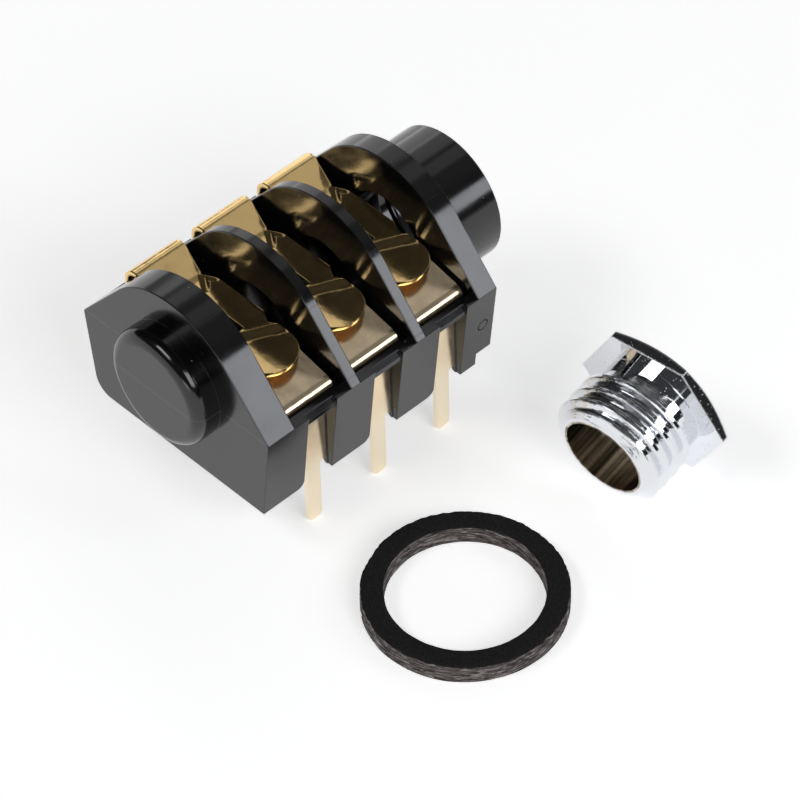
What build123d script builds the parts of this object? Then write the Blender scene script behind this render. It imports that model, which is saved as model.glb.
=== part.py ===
"""Audio jack socket for a 6.35 mm three pole plug, for a front panel and a printed board.

One glossy black housing carries three poles. Each pole has a gold plated spring contact on its +Y side
and a break contact on its -Y side. The chrome ferrule that screws into the nose and the fibre washer lie
apart on the floor beside the socket, as they are shown.

Row frame, in millimetres: the origin is on the plug axis in the plane of the flange's front face, +X runs
along the plug axis from the tail to the nose, +Z is up. The tips of the solder pins stand on the floor.
"""
import math
import os

from build123d import *

os.makedirs("parts", exist_ok=True)

# Poles: their pitch along X, and the gaps beside a contact in the first, a middle and the last bay
pole_pitch = 6.35
rib_thickness = 0.90
rib_gap = 0.425
front_gap = 0.15
back_gap = 0.35

# Housing: lengths along X
tail_plate = 2.55
flange_plate = 1.80
nose_length = 4.70
boss_length = 2.05

# Housing: cross section
shoulder_half = 9.56
skirt_lean = 0.86
base_z = -7.40
dome_r = 7.25
nose_r = 5.40
boss_r = 4.68
boss_edge_r = 0.95
boss_edge_steps = 6
base_corner_r = 1.50
inner_wall = 0.57
low_relief = 0.60
cavity_slope = 0.40
rebate_gap = 0.345
rebate_depth = 0.55
flange_step_length = 1.40
flange_step_z = -6.25
edge_break = 0.12
outline_break = 0.07
skirt_corner_r = 0.65
skirt_inner_r = 0.28

# Housing: floor with its trough under the plug, hollow underneath
floor_top_z = -2.70
floor_under_z = -3.90
trough_gap = 0.25
trough_wall = 0.90

# Housing: bores on the plug axis
plug_bore_r = 3.30
tip_pocket_depth = 1.25
guide_lead = 0.25
nose_thread_r = 4.20
nose_thread_depth = 4.00
nose_lead = 0.35

# Housing: slots for the terminals in both side walls
window_gap = 0.10
bridge_z = -0.85
bridge_inset = 0.21
bridge_top_inset = 0.51
bridge_chamfer = 0.45

# Contacts: sheet metal. Terminals stand in the side walls, terminal_inset inside the shoulder
sheet = 0.35
terminal_inset = 1.48
terminal_half = 1.25
pin_half = 0.635
pin_shoulder_z = -6.70
pin_tip_z = -12.10
pin_tip_r = 0.45
slit_side_gap = 0.03
slit_face_gap = 0.035

# Break contacts
break_side_gap = 0.525
break_fold_r = 0.72
break_slope = 12.7
break_top_z = 0.265
break_length = 4.73
break_corner_r = 0.60
dimple_from_lobe = 0.20
dimple_r = 0.75

# Spring contacts: terminal with its fold
spring_fold_r = 0.85
spring_fold_z = 2.10
plate_slope = 17.4
widen_z = -0.45
hinge_gap = 0.02

# Spring contacts: arm. Widths are measured from the pole's middle, left towards the tail and right
# towards the nose; distances along Y are measured from the plug axis
neck_y = 4.45
neck_left = 0.60
neck_right = 1.60
neck_length = 0.55
tongue_top_z = 2.18
tongue_left = -0.08
tongue_right = 2.22
tongue_start_y = 3.35
tongue_taper_y = -1.25
tongue_end_right = 1.70
crimp_apex_u = 1.50
crimp_apex_y = 4.12
crimp_left_u = 0.72
crimp_left_y = 3.05
crimp_right_u = 2.12
crimp_right_y = 3.42
crimp_width = 0.52
crimp_height = 0.24
crease_skew = 25.2
crease_y = -1.96
crease_r = 0.14
facet_run = 0.50
facet_drop = 0.35
lobe_y = -3.90
lobe_r = 2.35
lobe_left = 0.05
lobe_shoulder = 0.75
contact_gap = 0.02

# Ferrule, with its place and tilt on the floor
hex_across_flats = 10.90
hex_thickness = 0.95
hex_chamfer = 0.28
ferrule_bore_r = 3.20
ferrule_lead = 0.25
thread_crest_r = 4.62
thread_root_r = 4.06
thread_pitch = 1.20
thread_start = 1.35
thread_length = 5.80
thread_end_r = 3.62
thread_end_chamfer = 0.62
ferrule_x = 4.30
ferrule_y = -20.85
ferrule_azimuth = 6.2

# Fibre washer, flat on the floor
washer_nose_gap = 0.30
washer_outer_r = 7.38
washer_thickness = 1.50
washer_x = -15.10
washer_y = -21.50

# Sizes and places that follow from the driving dimensions
base_half = shoulder_half - skirt_lean
spring_half = (pole_pitch - rib_thickness) / 2 - rib_gap
break_half = (pole_pitch - rib_thickness) / 2 - break_side_gap
window_half = terminal_half + window_gap
first_pole = flange_plate + front_gap + spring_half
pole_x = [-(first_pole + pole_pitch * i) for i in range(3)]
rib_x = [pole_x[0] - pole_pitch / 2, pole_x[1] - pole_pitch / 2]
tail_inside_x = pole_x[2] - spring_half - back_gap
body_length = tail_plate - tail_inside_x
bay_ends = [
    (rib_x[0] + rib_thickness / 2, -flange_plate),
    (rib_x[1] + rib_thickness / 2, rib_x[0] - rib_thickness / 2),
    (tail_inside_x, rib_x[1] - rib_thickness / 2),
]
slope_angle = math.acos(dome_r / shoulder_half)
tangent_y = dome_r * math.cos(slope_angle)
tangent_z = dome_r * math.sin(slope_angle)
terminal_y = shoulder_half - terminal_inset
strip_in = terminal_y - sheet / 2
strip_out = terminal_y + sheet / 2
cavity_half_top = strip_in - slit_face_gap - inner_wall
cavity_half_low = cavity_half_top + low_relief
rebate_half = strip_out + rebate_gap
bridge_out = shoulder_half - bridge_inset
bridge_top_out = shoulder_half - bridge_top_inset
washer_inner_r = nose_r + washer_nose_gap
floor_z = pin_tip_z
groove_r = plug_bore_r + trough_gap
outside = 3 * shoulder_half


def side(points, sign):
    """Mirror a list of Y, Z points to the wanted side of the socket."""
    return [(sign * y, z) for y, z in points]


# Housing
with BuildPart() as housing:
    with BuildSketch(Plane.YZ.offset(-body_length)):
        with BuildLine():
            Polyline((-shoulder_half, 0), (-base_half, base_z), (base_half, base_z), (shoulder_half, 0))
            Line((shoulder_half, 0), (tangent_y, tangent_z))
            ThreePointArc((tangent_y, tangent_z), (0, dome_r), (-tangent_y, tangent_z))
            Line((-tangent_y, tangent_z), (-shoulder_half, 0))
        make_face()
    extrude(amount=body_length)
    for start, end in bay_ends:
        # Bay above the floor, with a rebate along the top of each side wall
        upper = [
            (outside, 0),
            (rebate_half, 0),
            (rebate_half, -rebate_depth),
            (cavity_half_top, -rebate_depth),
            (cavity_half_top, floor_top_z),
        ]
        with BuildSketch(Plane.YZ.offset(start)):
            with BuildLine():
                Polyline((-outside, outside), (outside, outside), *upper, *reversed(side(upper, -1)), (-outside, outside))
            make_face()
            with BuildLine():
                CenterArc((0, 0), groove_r, 180, 180)
                Polyline((groove_r, 0), (groove_r, 1), (-groove_r, 1), (-groove_r, 0))
            make_face()
        extrude(amount=end - start, mode=Mode.SUBTRACT)
        # Hollow under the floor and round the trough, down to the open underside
        trough_r = plug_bore_r + trough_wall
        trough_y = math.sqrt(trough_r**2 - floor_under_z**2)
        lower = [
            (trough_y, floor_under_z),
            (cavity_half_top, floor_under_z),
            (cavity_half_low, floor_under_z - cavity_slope),
            (cavity_half_low, base_z - 1),
        ]
        with BuildSketch(Plane.YZ.offset(start)):
            with BuildLine():
                Polyline(*lower, *reversed(side(lower, -1)))
                ThreePointArc((-trough_y, floor_under_z), (0, -trough_r), (trough_y, floor_under_z))
            make_face()
        extrude(amount=end - start, mode=Mode.SUBTRACT)
    # Rounded inner edge along the bottom of both skirts
    inner_edges = housing.edges().filter_by(Axis.X)
    inner_edges = inner_edges.filter_by(lambda e: abs(e.center().Z - base_z) < 0.01)
    inner_edges = inner_edges.filter_by(lambda e: abs(abs(e.center().Y) - cavity_half_low) < 0.01)
    fillet(inner_edges, radius=skirt_inner_r)
    # Terminal slots: a window from outside, a slit for the strip and a sloped bridge over the window
    for x in pole_x:
        for sign in (-1, 1):
            window = [
                (strip_out + slit_face_gap, base_z - 1),
                (strip_out + slit_face_gap, bridge_z),
                (bridge_out, bridge_z),
                (bridge_out, -bridge_chamfer),
                (bridge_top_out, 0),
                (bridge_top_out, 1),
                (outside, 1),
                (outside, base_z - 1),
            ]
            with BuildSketch(Plane.YZ.offset(x - window_half)):
                with BuildLine():
                    Polyline(*side(window, sign), close=True)
                make_face()
            extrude(amount=2 * window_half, mode=Mode.SUBTRACT)
            slit = [
                (strip_in - slit_face_gap, base_z - 1),
                (strip_in - slit_face_gap, 1),
                (strip_out + slit_face_gap, 1),
                (strip_out + slit_face_gap, base_z - 1),
            ]
            with BuildSketch(Plane.YZ.offset(x - terminal_half - slit_side_gap)):
                with BuildLine():
                    Polyline(*side(slit, sign), close=True)
                make_face()
            extrude(amount=2 * (terminal_half + slit_side_gap), mode=Mode.SUBTRACT)
    # The lower corner of each wall block is rounded on its nose side, but for the tail block's on the
    # spring side, which has a larger round along it
    block_ends = [x - window_half for x in pole_x]
    corners = housing.edges().filter_by(lambda e: abs(e.center().Z - base_z) < 0.01)
    corners = corners.filter_by(lambda e: abs(e.center().Y) > strip_out and e.length > 0.1)
    corners = corners.filter_by(lambda e: min(abs(e.center().X - x) for x in block_ends) < 0.01)
    corners = corners.filter_by(lambda e: e.center().Y < 0 or e.center().X > tail_inside_x + back_gap + spring_half)
    fillet(corners, radius=skirt_corner_r)
    # The flange's lower edge is stepped at the front
    with BuildSketch(Plane.YZ):
        with Locations((0, (flange_step_z + base_z - 1) / 2)):
            Rectangle(outside, flange_step_z - base_z + 1)
    extrude(amount=-flange_step_length, mode=Mode.SUBTRACT)
    # Rounded lower corner of the tail block on the spring side
    lean = math.atan2(shoulder_half - base_half, -base_z)
    reach = base_corner_r / math.tan(math.pi / 4 + lean / 2)
    to_corner = base_corner_r / math.hypot(reach, base_corner_r)
    corner_y = base_half - reach
    corner_z = base_z + base_corner_r
    with BuildSketch(Plane.YZ.offset(-body_length)):
        with BuildLine():
            Polyline(
                (corner_y, base_z),
                (corner_y, base_z - 1),
                (outside, base_z - 1),
                (outside, base_z + reach * math.cos(lean)),
                (base_half + reach * math.sin(lean), base_z + reach * math.cos(lean)),
            )
            ThreePointArc(
                (corner_y, base_z),
                (corner_y + reach * to_corner, corner_z - base_corner_r * to_corner),
                (base_half + reach * math.sin(lean), base_z + reach * math.cos(lean)),
            )
        make_face()
    extrude(amount=body_length + block_ends[2] + window_half / 2, mode=Mode.SUBTRACT)
    # The outlines of the plates and ribs are slightly broken
    outline = housing.edges().filter_by(lambda e: e.center().Z > 0.5)
    outline = outline.filter_by(lambda e: e.bounding_box().size.X < 0.01)
    outline = outline.filter_by(lambda e: e.bounding_box().max.Z > tangent_z - 0.01)
    chamfer(outline, length=outline_break)
    # Nose with its bore for the ferrule's thread
    with BuildSketch(Plane.YZ):
        Circle(nose_r)
    extrude(amount=nose_length)
    nose_rim = housing.edges().filter_by(GeomType.CIRCLE).sort_by(Axis.X)[-1]
    chamfer(nose_rim, length=edge_break)
    # Tail boss, which houses the tip of the plug; its round is drawn as narrow cones
    boss_end_x = -body_length - boss_length
    with BuildSketch(Plane.XY):
        with BuildLine():
            rounding = []
            for i in range(boss_edge_steps + 1):
                a = math.radians(90 * i / boss_edge_steps)
                round_x = boss_end_x + boss_edge_r * (1 - math.sin(a))
                round_y = boss_r - boss_edge_r * (1 - math.cos(a))
                rounding.append((round_x, round_y))
            start = (-body_length + tail_plate / 2, 0)
            Polyline(start, (start[0], boss_r), *rounding, (boss_end_x, 0), start)
        make_face()
    revolve(axis=Axis.X)
    # Plug bore from the nose to a blind pocket in the boss
    with BuildSketch(Plane.YZ.offset(-body_length - tip_pocket_depth)):
        Circle(plug_bore_r)
    extrude(amount=body_length + tip_pocket_depth + nose_length, mode=Mode.SUBTRACT)
    with BuildSketch(Plane.YZ.offset(nose_length)):
        Circle(nose_thread_r)
    extrude(amount=-nose_thread_depth, mode=Mode.SUBTRACT)
    mouth = housing.edges().filter_by(GeomType.CIRCLE).sort_by(Axis.X)
    mouth_rim = [e for e in mouth if abs(e.radius - nose_thread_r) < 0.01 and e.center().X > nose_length - 0.1]
    chamfer(mouth_rim, length=nose_lead)
    with BuildSketch(Plane.YZ.offset(-flange_plate)):
        Circle(plug_bore_r + guide_lead)
    extrude(amount=guide_lead, taper=45, mode=Mode.SUBTRACT)
housing.part.label = "housing"


def terminal_strip(x, sign, top_z, wide_half):
    """Flat terminal in a wall slot, from the pin's tip up, wide_half wide from widen_z to top_z."""
    with BuildPart() as strip:
        with BuildSketch(Plane.XZ.offset(-sign * terminal_y - sheet / 2)):
            with BuildLine():
                right = [
                    (pin_half, pin_tip_z),
                    (pin_half, pin_shoulder_z),
                    (terminal_half, pin_shoulder_z),
                    (terminal_half, min(widen_z, top_z)),
                ]
                if top_z > widen_z:
                    right.append((wide_half, widen_z))
                    right.append((wide_half, top_z))
                left = [(-u, z) for u, z in reversed(right)]
                points = [(x + u, z) for u, z in right + left]
                Polyline(*points, points[0])
            make_face()
        extrude(amount=sheet)
        tips = strip.edges().filter_by(Axis.Y).sort_by(Axis.Z)[0:2]
        fillet(tips, radius=pin_tip_r)
    return strip.part


# Break contacts: a terminal folded inwards to a sloping plate with a dimple under the spring's lobe
fold_b = math.radians(break_slope)
half_z = sheet / 2 / math.cos(fold_b)
fold_end_y = -terminal_y + break_fold_r - break_fold_r * math.sin(fold_b)
fold_end_z = break_top_z + (fold_end_y + terminal_y) * math.tan(fold_b) - half_z
fold_cy = -terminal_y + break_fold_r
fold_cz = fold_end_z - break_fold_r * math.cos(fold_b)
break_end_y = -terminal_y + break_length
break_widen_z = min(widen_z, fold_cz - 0.05)
lobe_under_z = tongue_top_z - facet_drop - sheet


def polar(cy, cz, r, degrees):
    """Point at an angle round a centre in the YZ plane."""
    a = math.radians(degrees)
    return (cy + r * math.cos(a), cz + r * math.sin(a))


def break_contact(x):
    """Break contact of the pole at x."""
    outer = break_fold_r + sheet / 2
    inner = break_fold_r - sheet / 2
    last = 90 + break_slope
    mid = (180 + last) / 2
    run = (break_end_y - fold_end_y) / math.cos(fold_b)
    top_a = polar(fold_cy, fold_cz, outer, last)
    low_a = polar(fold_cy, fold_cz, inner, last)
    step = (run * math.cos(fold_b), run * math.sin(fold_b))
    top_b = (top_a[0] + step[0], top_a[1] + step[1])
    low_b = (low_a[0] + step[0], low_a[1] + step[1])
    with BuildPart() as piece:
        with BuildSketch(Plane.YZ.offset(x - break_half)):
            with BuildLine():
                Line((fold_cy - outer, break_widen_z), (fold_cy - outer, fold_cz))
                ThreePointArc((fold_cy - outer, fold_cz), polar(fold_cy, fold_cz, outer, mid), top_a)
                Polyline(top_a, top_b, low_b, low_a)
                ThreePointArc(low_a, polar(fold_cy, fold_cz, inner, mid), (fold_cy - inner, fold_cz))
                Polyline(
                    (fold_cy - inner, fold_cz),
                    (fold_cy - inner, break_widen_z),
                    (fold_cy - outer, break_widen_z),
                )
            make_face()
        extrude(amount=2 * break_half)
        corners = piece.edges().filter_by(lambda e: e.bounding_box().size.X < 0.01 and e.length < 1.2 * sheet)
        corners = corners.filter_by(lambda e: e.center().Y > break_end_y - sheet)
        fillet(corners, radius=break_corner_r)
        add(terminal_strip(x, -1, break_widen_z, terminal_half))
        # Dimple that touches the lobe of the spring when no plug is in
        dimple_y = lobe_y - dimple_from_lobe
        plate_z = break_top_z + (dimple_y + terminal_y) * math.tan(fold_b)
        rise = lobe_under_z - contact_gap - plate_z
        depth = rise + sheet / 2
        with Locations((x - dimple_from_lobe, dimple_y, plate_z + rise - depth / 2)):
            Cone(bottom_radius=dimple_r + sheet / 3, top_radius=dimple_r / 2, height=depth)
    return piece.part


# Spring contacts: a fixed terminal with its fold, and an arm that stands for the bending leaf
hinge_angle = 90 + plate_slope
hinge_cy = terminal_y - spring_fold_r
hinge_y, hinge_z = polar(hinge_cy, spring_fold_z, spring_fold_r, hinge_angle)


def spring_terminal(x):
    """Fixed terminal of a spring contact, up to the fold."""
    outer = spring_fold_r + sheet / 2
    inner = spring_fold_r - sheet / 2
    mid = hinge_angle / 2
    with BuildPart() as piece:
        with BuildSketch(Plane.YZ.offset(x - spring_half)):
            with BuildLine():
                start_o = (hinge_cy + outer, spring_fold_z)
                start_i = (hinge_cy + inner, spring_fold_z)
                end_o = polar(hinge_cy, spring_fold_z, outer, hinge_angle)
                end_i = polar(hinge_cy, spring_fold_z, inner, hinge_angle)
                ThreePointArc(start_o, polar(hinge_cy, spring_fold_z, outer, mid), end_o)
                Line(end_o, end_i)
                ThreePointArc(end_i, polar(hinge_cy, spring_fold_z, inner, mid), start_i)
                Line(start_i, start_o)
            make_face()
        extrude(amount=2 * spring_half)
        add(terminal_strip(x, 1, spring_fold_z, spring_half))
        # Seat for the rounded end of the arm
        with BuildSketch(Plane.YZ.offset(x - 2 * spring_half)):
            with Locations((hinge_y, hinge_z)):
                Circle(sheet / 2 + hinge_gap)
        extrude(amount=4 * spring_half, mode=Mode.SUBTRACT)
    return piece.part


def spring_arm(x):
    """Moving arm of a spring contact: plate, neck with its V shaped crimp, tongue and round lobe."""
    top = tongue_top_z
    low = tongue_top_z - sheet
    slope = math.atan2(hinge_z - (top - sheet / 2), hinge_y - neck_y)
    dy = sheet / 2 * math.sin(slope)
    dz = sheet / 2 * math.cos(slope)
    beta = math.radians(crease_skew)
    lap = lobe_r / 2
    with BuildPart() as arm:
        # Sloping plate and flat tongue, as one bent strip
        with BuildSketch(Plane.YZ.offset(x - 1.5 * spring_half)):
            with BuildLine():
                Polyline(
                    (hinge_y - dy, hinge_z + dz),
                    (neck_y, top),
                    (crease_y + lap, top),
                    (crease_y + lap, low),
                    (neck_y + dy, low),
                    (hinge_y + dy, hinge_z - dz),
                    close=True,
                )
            make_face()
            with Locations((hinge_y, hinge_z)):
                Circle(sheet / 2)
        extrude(amount=3 * spring_half)
        # The crease is skewed, so the end of the tongue, the facet and the lobe are drawn square to it
        square = Plane(
            origin=(x - tongue_left, crease_y, 0),
            x_dir=(-math.sin(beta), -math.cos(beta), 0),
            z_dir=(-math.cos(beta), math.sin(beta), 0),
        )
        back = lobe_r / 9
        with BuildSketch(square.offset(-3 * lobe_r)) as bent:
            with BuildLine():
                Polyline(
                    (-2.2 * lap, top),
                    (0, top),
                    (facet_run, top - facet_drop),
                    (4 * lobe_r, top - facet_drop),
                    (4 * lobe_r, low - facet_drop),
                    (facet_run - back / 2, low - facet_drop),
                    (-back / 2, low),
                    (-2.2 * lap, low),
                    close=True,
                )
            make_face()
            fillet(bent.vertices().filter_by(lambda v: abs(v.X) < lap), radius=crease_r)
        extrude(amount=6 * lobe_r)
        # Plan outline
        with BuildSketch(Plane.XY.offset(-lobe_r)):
            with BuildLine():
                Polyline(
                    (x - spring_half, hinge_y + 2 * sheet),
                    (x + spring_half, hinge_y + 2 * sheet),
                    (x + spring_half, hinge_y),
                    (x + neck_right, neck_y),
                    (x + neck_right, neck_y - neck_length / 2),
                    (x + tongue_right, tongue_start_y),
                    (x + tongue_right, tongue_taper_y),
                    (x + tongue_end_right, crease_y - facet_run / 2),
                    (x - lobe_left, lobe_y),
                    (x - lobe_left - lobe_r, lobe_y),
                    (x - lobe_left - lobe_r * 0.91, crease_y - lobe_shoulder),
                    (x - lobe_left - lobe_r * 0.70, crease_y - lobe_shoulder / 5),
                    (x - tongue_left - 0.2 * facet_run, crease_y),
                    (x - tongue_left, crease_y + 0.3 * facet_run),
                    (x - tongue_left, tongue_start_y - neck_length),
                    (x - neck_left, neck_y - neck_length),
                    (x - neck_left, neck_y),
                    (x - spring_half, hinge_y),
                    close=True,
                )
            make_face()
            with Locations((x - lobe_left, lobe_y)):
                Circle(lobe_r)
        extrude(amount=5 * lobe_r, mode=Mode.INTERSECT)
        # Crimp: two ridges that fall away from one apex at the neck to nothing at their feet
        for foot_u, foot_y in ((crimp_left_u, crimp_left_y), (crimp_right_u, crimp_right_y)):
            run_u = foot_u - crimp_apex_u
            run_y = foot_y - crimp_apex_y
            run = math.hypot(run_u, run_y)
            side_u = run_y / run * crimp_width / 2
            side_y = -run_u / run * crimp_width / 2
            near = (x + crimp_apex_u - 0.25 * run_u, crimp_apex_y - 0.25 * run_y, top - sheet / 3)
            far = (x + foot_u, foot_y, top - sheet / 3)
            apex = (x + crimp_apex_u, crimp_apex_y, top + crimp_height)
            left = (x + crimp_apex_u + side_u, crimp_apex_y + side_y, top - sheet / 3)
            right = (x + crimp_apex_u - side_u, crimp_apex_y - side_y, top - sheet / 3)
            faces = []
            for one, two, three in (
                (near, left, apex), (left, far, apex), (far, right, apex), (right, near, apex),
                (near, right, far), (near, far, left),
            ):
                faces.append(Face(Wire.make_polygon([Vector(*one), Vector(*two), Vector(*three)], close=True)))
            add(Solid(Shell(faces)))
    return arm.part


with BuildPart() as tip_break:
    add(break_contact(pole_x[2]))
tip_break.part.label = "tip_break"

with BuildPart() as ring_break:
    add(break_contact(pole_x[1]))
ring_break.part.label = "ring_break"

with BuildPart() as sleeve_break:
    add(break_contact(pole_x[0]))
sleeve_break.part.label = "sleeve_break"

with BuildPart() as tip_terminal:
    add(spring_terminal(pole_x[2]))
tip_terminal.part.label = "tip_terminal"

with BuildPart() as ring_terminal:
    add(spring_terminal(pole_x[1]))
ring_terminal.part.label = "ring_terminal"

with BuildPart() as sleeve_terminal:
    add(spring_terminal(pole_x[0]))
sleeve_terminal.part.label = "sleeve_terminal"

with BuildPart() as tip_arm:
    add(spring_arm(pole_x[2]))
tip_arm.part.label = "tip_arm"

with BuildPart() as ring_arm:
    add(spring_arm(pole_x[1]))
ring_arm.part.label = "ring_arm"

with BuildPart() as sleeve_arm:
    add(spring_arm(pole_x[0]))
sleeve_arm.part.label = "sleeve_arm"

# Ferrule, drawn along local Z from the hexagon's inner face at zero to the end of the thread.
# The thread is laid on in half turns, each one the same piece turned and raised by half the pitch.
with BuildPart() as half_turn:
    with BuildLine() as path:
        Helix(thread_pitch, thread_pitch / 2, thread_root_r, center=(0, 0, thread_start))
    with BuildSketch(Plane(origin=path.line @ 0, z_dir=path.line % 0, x_dir=(1, 0, 0))):
        with BuildLine():
            deep = thread_crest_r - thread_root_r
            foot = 0.38 * thread_pitch
            crest = 0.10 * thread_pitch
            Polyline((-0.25, -foot - 0.04), (-0.25, foot + 0.04), (0, foot), (deep * 0.8, crest * 1.8), (deep, crest))
            Line((deep, crest), (deep, -crest))
            Polyline((deep, -crest), (deep * 0.8, -crest * 1.8), (0, -foot), (-0.25, -foot - 0.04))
        make_face()
    sweep(path=path.line, is_frenet=True)

with BuildPart() as ferrule_drawn:
    with BuildSketch(Plane.XY):
        Circle(thread_root_r)
    extrude(amount=thread_length + 1)
    half_turns = math.ceil((thread_length - thread_start + 0.3) / (thread_pitch / 2))
    for i in range(half_turns):
        add(half_turn.part.moved(Location((0, 0, i * thread_pitch / 2), (0, 0, 25 + 180 * i))))
    with BuildSketch(Plane.XY):
        RegularPolygon(radius=hex_across_flats / 2, side_count=6, major_radius=False)
    extrude(amount=-hex_thickness)
    # Turned envelope: chamfered hexagon and the lead at the thread's end
    with BuildSketch(Plane.XZ):
        with BuildLine():
            corner_r = hex_across_flats / math.sqrt(3)
            flat_r = hex_across_flats / 2
            lead_slope = thread_end_chamfer / (thread_crest_r - thread_end_r)
            Polyline(
                (0, -hex_thickness),
                (flat_r - 0.05, -hex_thickness),
                (corner_r + 0.05, -hex_thickness + hex_chamfer + 0.14),
                (corner_r + 0.05, 0),
                (thread_crest_r + 0.2, 0),
                (thread_crest_r + 0.2, thread_length - thread_end_chamfer - 0.2 * lead_slope),
                (thread_end_r, thread_length),
                (0, thread_length),
                (0, -hex_thickness),
            )
        make_face()
    revolve(axis=Axis.Z, mode=Mode.INTERSECT)
    with BuildSketch(Plane.XY.offset(-hex_thickness)):
        Circle(ferrule_bore_r)
    extrude(amount=thread_length + hex_thickness, mode=Mode.SUBTRACT)
    bore_rim = ferrule_drawn.edges().filter_by(GeomType.CIRCLE).sort_by(Axis.Z)
    entry = [e for e in bore_rim if abs(e.radius - ferrule_bore_r) < 0.01 and e.center().Z < 0]
    chamfer(entry, length=ferrule_lead)

# It rests on one flat of the hexagon and on the crest next to the lead
rest_length = thread_length - thread_end_chamfer
rest_tilt = math.atan2(hex_across_flats / 2 - thread_crest_r, rest_length)
rest_z = floor_z + hex_across_flats / 2 * math.cos(rest_tilt)
azimuth = math.radians(ferrule_azimuth)
ferrule_axis = (
    -math.cos(rest_tilt) * math.cos(azimuth),
    -math.cos(rest_tilt) * math.sin(azimuth),
    -math.sin(rest_tilt),
)
ferrule_plane = Plane(
    origin=(ferrule_x, ferrule_y, rest_z),
    x_dir=(-math.sin(azimuth), math.cos(azimuth), 0),
    z_dir=ferrule_axis,
)
with BuildPart() as ferrule:
    add(ferrule_drawn.part.moved(ferrule_plane.location))
ferrule.part.label = "ferrule"

# Fibre washer
with BuildPart() as washer:
    with BuildSketch(Plane.XY.offset(floor_z)):
        with Locations((washer_x, washer_y)):
            Circle(washer_outer_r)
            Circle(washer_inner_r, mode=Mode.SUBTRACT)
    extrude(amount=washer_thickness)
washer.part.label = "washer"

export_step(housing.part, "parts/housing.step")
export_step(tip_break.part, "parts/tip_break.step")
export_step(ring_break.part, "parts/ring_break.step")
export_step(sleeve_break.part, "parts/sleeve_break.step")
export_step(tip_terminal.part, "parts/tip_terminal.step")
export_step(ring_terminal.part, "parts/ring_terminal.step")
export_step(sleeve_terminal.part, "parts/sleeve_terminal.step")
export_step(tip_arm.part, "parts/tip_arm.step")
export_step(ring_arm.part, "parts/ring_arm.step")
export_step(sleeve_arm.part, "parts/sleeve_arm.step")
export_step(ferrule.part, "parts/ferrule.step")
export_step(washer.part, "parts/washer.step")
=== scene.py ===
# %% [markdown]
# # An audio jack socket, its ferrule and its washer
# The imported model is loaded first: it is a fixed frame in metres, with every solid where it belongs.
# This lesson only dresses it. It sets up a small studio, gives each solid the finish of the real piece,
# and makes again the few pieces whose surface a plain solid cannot show.

# %% Load the model
import math

import bpy
from mathutils import Matrix, Vector, noise


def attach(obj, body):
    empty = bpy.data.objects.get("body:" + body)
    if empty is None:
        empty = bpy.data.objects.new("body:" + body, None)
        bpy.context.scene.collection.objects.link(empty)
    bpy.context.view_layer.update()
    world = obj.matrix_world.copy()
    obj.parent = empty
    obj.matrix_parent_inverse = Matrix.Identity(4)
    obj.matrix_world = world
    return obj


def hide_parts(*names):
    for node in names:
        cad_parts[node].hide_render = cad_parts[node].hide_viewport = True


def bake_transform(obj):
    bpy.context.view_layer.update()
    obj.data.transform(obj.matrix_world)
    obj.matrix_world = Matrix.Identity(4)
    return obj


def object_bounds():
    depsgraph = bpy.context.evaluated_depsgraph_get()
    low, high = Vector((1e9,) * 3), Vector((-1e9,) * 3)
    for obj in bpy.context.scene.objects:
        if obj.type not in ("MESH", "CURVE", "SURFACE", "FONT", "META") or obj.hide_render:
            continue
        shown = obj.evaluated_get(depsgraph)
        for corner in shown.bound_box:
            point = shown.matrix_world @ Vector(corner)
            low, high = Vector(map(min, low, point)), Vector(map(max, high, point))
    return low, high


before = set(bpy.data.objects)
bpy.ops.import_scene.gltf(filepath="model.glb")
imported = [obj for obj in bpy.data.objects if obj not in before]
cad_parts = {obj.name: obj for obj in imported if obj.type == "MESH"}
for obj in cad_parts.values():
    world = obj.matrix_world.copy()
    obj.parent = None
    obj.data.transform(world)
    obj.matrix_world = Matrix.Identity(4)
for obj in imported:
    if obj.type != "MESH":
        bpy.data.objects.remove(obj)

cad_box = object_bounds()
print("CAD box", cad_box)

# %% [markdown]
# ## The camera
# The photograph was taken from above the tail, on the side of the break contacts. A long lens gives its
# flat perspective. The camera is written as a place, three angles and a focal length, and its matrix is
# put together from the three directions right, up and back.

# %% Camera at the photograph's angle
azimuth = math.radians(226.99)
elevation = math.radians(45.79)
roll = math.radians(-1.57)
camera_place = Vector((-0.16214, -0.17300, 0.22534))
focal_mm = 204.49

look = -Vector((
    math.cos(elevation) * math.cos(azimuth), math.cos(elevation) * math.sin(azimuth), math.sin(elevation)))
level = look.cross(Vector((0, 0, 1))).normalized()
upright = level.cross(look)
right = math.cos(roll) * level + math.sin(roll) * upright
up = math.cos(roll) * upright - math.sin(roll) * level

camera_data = bpy.data.cameras.new("Camera")
camera_data.lens = focal_mm
camera_data.sensor_width = 36
camera_data.clip_start = 0.001
camera_data.clip_end = 10
camera = bpy.data.objects.new("Camera", camera_data)
bpy.context.collection.objects.link(camera)
camera.matrix_world = Matrix.Translation(camera_place) @ Matrix((right, up, -look)).transposed().to_4x4()
bpy.context.scene.camera = camera
print("camera looks along", tuple(round(v, 3) for v in look))

# %% [markdown]
# ## Three helpers
# Colours are picked as sRGB hex values, as in any paint program, but shaders calculate in linear light,
# so one function converts them. A second function adds a node with its settings and links in one call,
# which keeps the node trees readable, and a third starts an empty material.

# %% Colour and node helpers
mm = 0.001


def srgb(text):
    """Linear RGBA of an sRGB hex value."""
    channels = [int(text[i:i + 2], 16) / 255 for i in (1, 3, 5)]
    return [c / 12.92 if c <= 0.04045 else ((c + 0.055) / 1.055) ** 2.4 for c in channels] + [1.0]


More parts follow.
